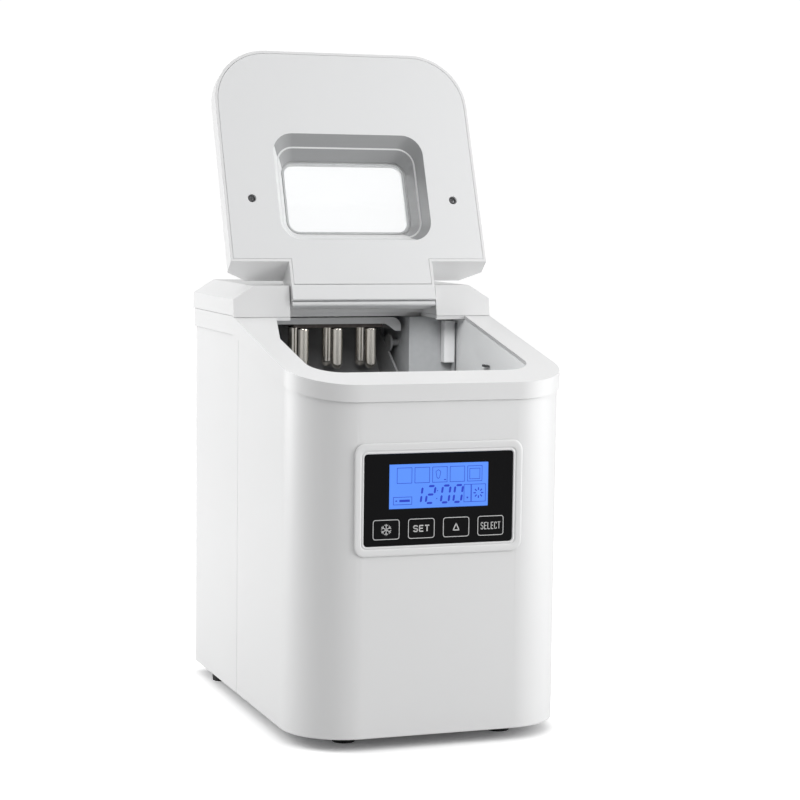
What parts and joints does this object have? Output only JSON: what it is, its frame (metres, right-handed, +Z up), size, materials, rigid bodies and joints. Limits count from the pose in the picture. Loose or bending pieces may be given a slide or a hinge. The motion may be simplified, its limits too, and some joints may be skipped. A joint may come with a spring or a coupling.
{
  "type": "ice maker",
  "caption": "Countertop ice maker with a hinged windowed lid, sloping rim, front display with keys, ice basket, tilting water tray and cooled fingers.",
  "frame": {"origin": "middle of the bounding box in plan, on the surface that the feet stand on", "axes": "+Z up, front at -Y, +X to the right seen from the front"},
  "size_m": [0.238, 0.336, 0.5716],
  "materials": {
    "zinc_steel": "plain zinc-coated sheet",
    "white_shell": "satin white moulded plastic",
    "white_inner": "smooth white moulded plastic",
    "foot_rubber": "matt black rubber",
    "clear_window": "clear plastic pane with a smoky tint",
    "screw_steel": "plain steel",
    "black_panel": "polished black overlay",
    "blue_screen": "backlit display",
    "circuit_board": "green solder mask",
    "grey_white_liner": "light grey moulded plastic",
    "dark_grey_plastic": "dark grey moulded plastic",
    "copper": "drawn copper",
    "chrome_finger": "bright nickel plating",
    "black_plastic": "black moulded plastic",
    "silicone_hose": "milky silicone",
    "black_enamel": "black baked enamel",
    "bare_aluminium": "plain aluminium fins"
  },
  "bodies": {
    "cabinet": {"base_pan": "zinc_steel", "front_wrap": "white_shell", "rear_shell": "white_shell", "top_rim": "white_shell", "rear_cover": "white_shell", "foot_front_left": "foot_rubber", "foot_front_right": "foot_rubber", "foot_rear_left": "foot_rubber", "foot_rear_right": "foot_rubber", "hinge_pin_left": "screw_steel", "hinge_pin_right": "screw_steel", "panel_bezel": "white_shell", "panel_glass": "black_panel", "lcd_module": "blue_screen", "control_board": "circuit_board", "inner_liner": "grey_white_liner", "evaporator_cover": "dark_grey_plastic", "evaporator": "copper", "ice_finger_1": "chrome_finger", "ice_finger_2": "chrome_finger", "ice_finger_3": "chrome_finger", "ice_finger_4": "chrome_finger", "ice_finger_5": "chrome_finger", "ice_finger_6": "chrome_finger", "tray_motor": "black_plastic", "pusher_motor": "black_plastic", "water_pump": "black_plastic", "water_inlet": "white_inner", "pump_hose": "silicone_hose", "drain_hose": "silicone_hose", "ice_sensor_left": "black_plastic", "ice_sensor_right": "black_plastic", "compressor": "black_enamel", "compressor_grommet_1": "foot_rubber", "compressor_grommet_2": "foot_rubber", "compressor_grommet_3": "foot_rubber", "condenser": "bare_aluminium", "fan_shroud": "black_plastic", "fan_motor": "black_plastic", "filter_drier": "copper", "discharge_tube": "copper", "liquid_tube": "copper", "suction_tube": "copper", "capillary_tube": "copper", "power_gland": "foot_rubber"},
    "lid": {"lid_shell": "white_shell", "lid_inner_panel": "white_inner", "lid_window": "clear_window", "lid_screw_left": "screw_steel", "lid_screw_right": "screw_steel"},
    "tray": {"water_tray": "dark_grey_plastic"},
    "pusher": {"ice_pusher": "dark_grey_plastic"},
    "basket": {"ice_basket": "grey_white_liner"},
    "plug": {"drain_plug": "foot_rubber"},
    "rotor": {"fan_rotor": "black_plastic"},
    "cool_key": {"key_cool": "black_panel"},
    "set_key": {"key_set": "black_panel"},
    "mode_key": {"key_mode": "black_panel"},
    "choose_key": {"key_choose": "black_panel"}
  },
  "joints": [
    {"name": "lid_hinge", "type": "hinge", "parent": "cabinet", "child": "lid", "pos_m": [0, 0.046, 0.359], "axis": [1, 0, 0], "range_deg": [0, 123.4]},
    {"name": "tray_tilt", "type": "hinge", "parent": "cabinet", "child": "tray", "pos_m": [0, 0.09025, 0.31], "axis": [1, 0, 0], "range_deg": [-35, 0]},
    {"name": "pusher_slide", "type": "slide", "parent": "cabinet", "child": "pusher", "axis": [0, -1, 0], "range_m": [0, 0.03]},
    {"name": "basket_lift", "type": "slide", "parent": "cabinet", "child": "basket", "axis": [0, 0, -1], "range_m": [-0.225, 0]},
    {"name": "plug_pull", "type": "slide", "parent": "cabinet", "child": "plug", "axis": [1, 0, 0], "range_m": [0, 0.02]},
    {"name": "fan_spin", "type": "hinge", "parent": "cabinet", "child": "rotor", "pos_m": [0.072, 0.111, 0.092], "axis": [1, 0, 0], "continuous": true},
    {"name": "cool_press", "type": "slide", "parent": "cabinet", "child": "cool_key", "axis": [0, 1, 0], "range_m": [0, 0.0008], "stiffness_N_per_m": 600},
    {"name": "set_press", "type": "slide", "parent": "cabinet", "child": "set_key", "axis": [0, 1, 0], "range_m": [0, 0.0008], "stiffness_N_per_m": 600},
    {"name": "mode_press", "type": "slide", "parent": "cabinet", "child": "mode_key", "axis": [0, 1, 0], "range_m": [0, 0.0008], "stiffness_N_per_m": 600},
    {"name": "choose_press", "type": "slide", "parent": "cabinet", "child": "choose_key", "axis": [0, 1, 0], "range_m": [0, 0.0008], "stiffness_N_per_m": 600}
  ]
}
